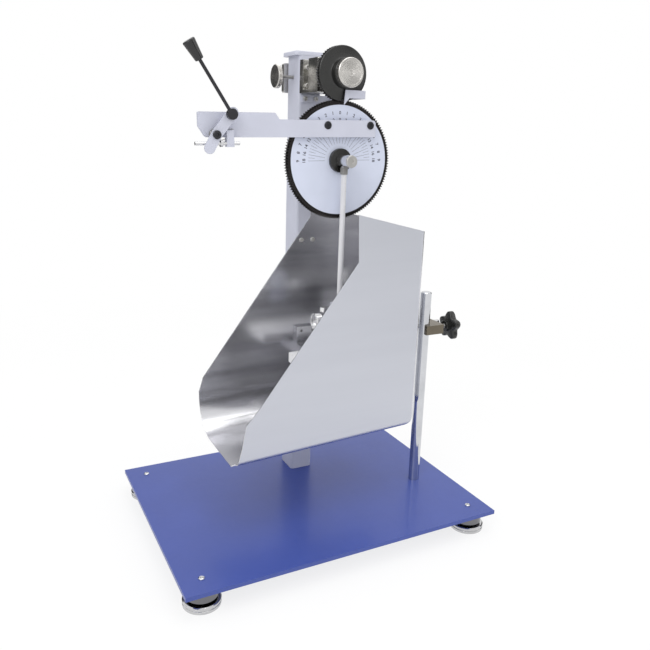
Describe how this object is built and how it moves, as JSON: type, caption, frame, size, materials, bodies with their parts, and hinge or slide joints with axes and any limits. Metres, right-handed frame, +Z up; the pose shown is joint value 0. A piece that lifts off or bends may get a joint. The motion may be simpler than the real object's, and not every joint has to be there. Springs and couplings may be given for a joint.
{
  "type": "pendulum impact tester",
  "caption": "Bottle impact tester: base on levelling feet, square column, toothed dial with release arm, free hammer, bent sheet guard with bottle platform, and a post with a back stop",
  "frame": {"origin": "On the floor, under the middle of the base plate, which is also the middle of the whole footprint.", "axes": "+X to the right as the dial is read, +Y to the back where the column stands, +Z up."},
  "size_m": [0.5, 0.37, 0.7262],
  "materials": {
    "powder_white": "light powder coat, satin",
    "base_blue": "dark blue enamel, semi-gloss",
    "polished_steel": "polished steel",
    "satin_steel": "turned and satin finished",
    "guard_sheet": "smooth stainless sheet",
    "clamp_steel": "brownish machined steel",
    "black_gear": "black anodised",
    "gloss_black": "glossy black moulding",
    "dial_white": "white printed plate",
    "dark_screw": "blackened screws",
    "white_plastic": "white plastic, matt"
  },
  "bodies": {
    "frame": {"base_plate": "base_blue", "foot_bodies": "polished_steel", "foot_screws": "polished_steel", "base_screws": "satin_steel", "flange_screws": "satin_steel", "column": "powder_white", "column_cap": "powder_white", "column_anchor": "satin_steel", "bearing_bracket": "polished_steel", "rear_bearing_plate": "satin_steel", "spindle_housing": "polished_steel", "spindle": "polished_steel", "spindle_end_screw": "polished_steel", "spindle_nut": "polished_steel", "guard": "guard_sheet", "bottle_platform": "white_plastic", "platform_bracket": "powder_white", "post": "polished_steel", "pointer_strip": "powder_white", "pointer": "powder_white"},
    "pinion": {"pinion_shaft": "polished_steel", "shaft_collar": "polished_steel", "pinion_spacer": "polished_steel", "pinion_gear": "black_gear", "hand_wheel": "gloss_black", "knurled_disc": "satin_steel"},
    "lock_knob": {"lock_knob": "satin_steel"},
    "dial": {"dial_gear": "black_gear", "dial_face": "dial_white", "dial_boss": "gloss_black", "dial_ring_nut": "black_gear", "arm_plate": "powder_white", "arm_spacers": "polished_steel", "arm_screws": "dark_screw", "latch_pivot_boss": "polished_steel", "latch_pivot_screw": "dark_screw", "pin_guide": "powder_white", "latch_spring": "dark_screw"},
    "release_lever": {"latch_link": "powder_white", "lever_rod": "dark_screw", "lever_grip": "gloss_black"},
    "latch_pin": {"latch_pin": "polished_steel"},
    "pendulum": {"pendulum_hub": "polished_steel", "rod_lock_nut": "gloss_black", "pendulum_rod": "powder_white", "hammer_block": "powder_white", "catch_eye": "polished_steel", "striker_bar": "polished_steel", "striker_tail": "polished_steel", "striker_nose": "polished_steel", "striker_nut": "polished_steel"},
    "clamp": {"clamp_block": "clamp_steel"},
    "clamp_screw": {"star_knob": "gloss_black", "star_knob_screw": "satin_steel"},
    "back_stop": {"stop_rod": "polished_steel", "back_stop_block": "white_plastic"},
    "pad_front_left": {"foot_pad_front_left": "polished_steel"},
    "pad_back_left": {"foot_pad_back_left": "polished_steel"},
    "pad_front_right": {"foot_pad_front_right": "polished_steel"},
    "pad_back_right": {"foot_pad_back_right": "polished_steel"}
  },
  "joints": [
    {"name": "dial_turn", "type": "hinge", "parent": "frame", "child": "dial", "pos_m": [0.0315, -0.025, 0.57], "axis": [0, 1, 0], "range_deg": [-60, 30]},
    {"name": "pinion_turn", "type": "hinge", "parent": "frame", "child": "pinion", "pos_m": [0.0315, -0.025, 0.68875], "axis": [0, 1, 0], "range_deg": [-70, 140]},
    {"name": "lock_knob_turn", "type": "hinge", "parent": "frame", "child": "lock_knob", "pos_m": [-0.015, 0.094, 0.68875], "axis": [1, 0, 0], "range_deg": [-360, 0]},
    {"name": "pendulum_swing", "type": "hinge", "parent": "frame", "child": "pendulum", "pos_m": [0.0315, -0.05, 0.57], "axis": [0, 1, 0], "range_deg": [-5, 88.5]},
    {"name": "release_lever_turn", "type": "hinge", "parent": "dial", "child": "release_lever", "pos_m": [-0.15888, -0.0495, 0.60103], "axis": [0, 1, 0], "range_deg": [-20, 0], "stiffness_Nm_per_rad": 0.1, "springref_deg": 28.65},
    {"name": "latch_pin_slide", "type": "slide", "parent": "dial", "child": "latch_pin", "axis": [0.9997, 0, 0.0262], "range_m": [-0.0002, 0.0058]},
    {"name": "clamp_height", "type": "slide", "parent": "frame", "child": "clamp", "axis": [0, 0, 1], "range_m": [-0.01, 0.045]},
    {"name": "clamp_screw_turn", "type": "hinge", "parent": "clamp", "child": "clamp_screw", "pos_m": [0.225, -0.043, 0.305], "axis": [1, 0, 0], "range_deg": [-360, 0]},
    {"name": "back_stop_reach", "type": "slide", "parent": "clamp", "child": "back_stop", "axis": [1, 0, 0], "range_m": [-0.028, 0]},
    {"name": "pad_turn_front_left", "type": "hinge", "parent": "frame", "child": "pad_front_left", "pos_m": [-0.22, -0.155, 0.02], "axis": [0, 0, 1], "continuous": true},
    {"name": "pad_turn_back_left", "type": "hinge", "parent": "frame", "child": "pad_back_left", "pos_m": [-0.22, 0.155, 0.02], "axis": [0, 0, 1], "continuous": true},
    {"name": "pad_turn_front_right", "type": "hinge", "parent": "frame", "child": "pad_front_right", "pos_m": [0.22, -0.155, 0.02], "axis": [0, 0, 1], "continuous": true},
    {"name": "pad_turn_back_right", "type": "hinge", "parent": "frame", "child": "pad_back_right", "pos_m": [0.22, 0.155, 0.02], "axis": [0, 0, 1], "continuous": true}
  ],
  "couplings": [
    {"joint": "pinion_turn", "follows": "dial_turn", "ratio": -2.2759},
    {"joint": "latch_pin_slide", "follows": "release_lever_turn", "m_per_rad": -0.015756}
  ]
}
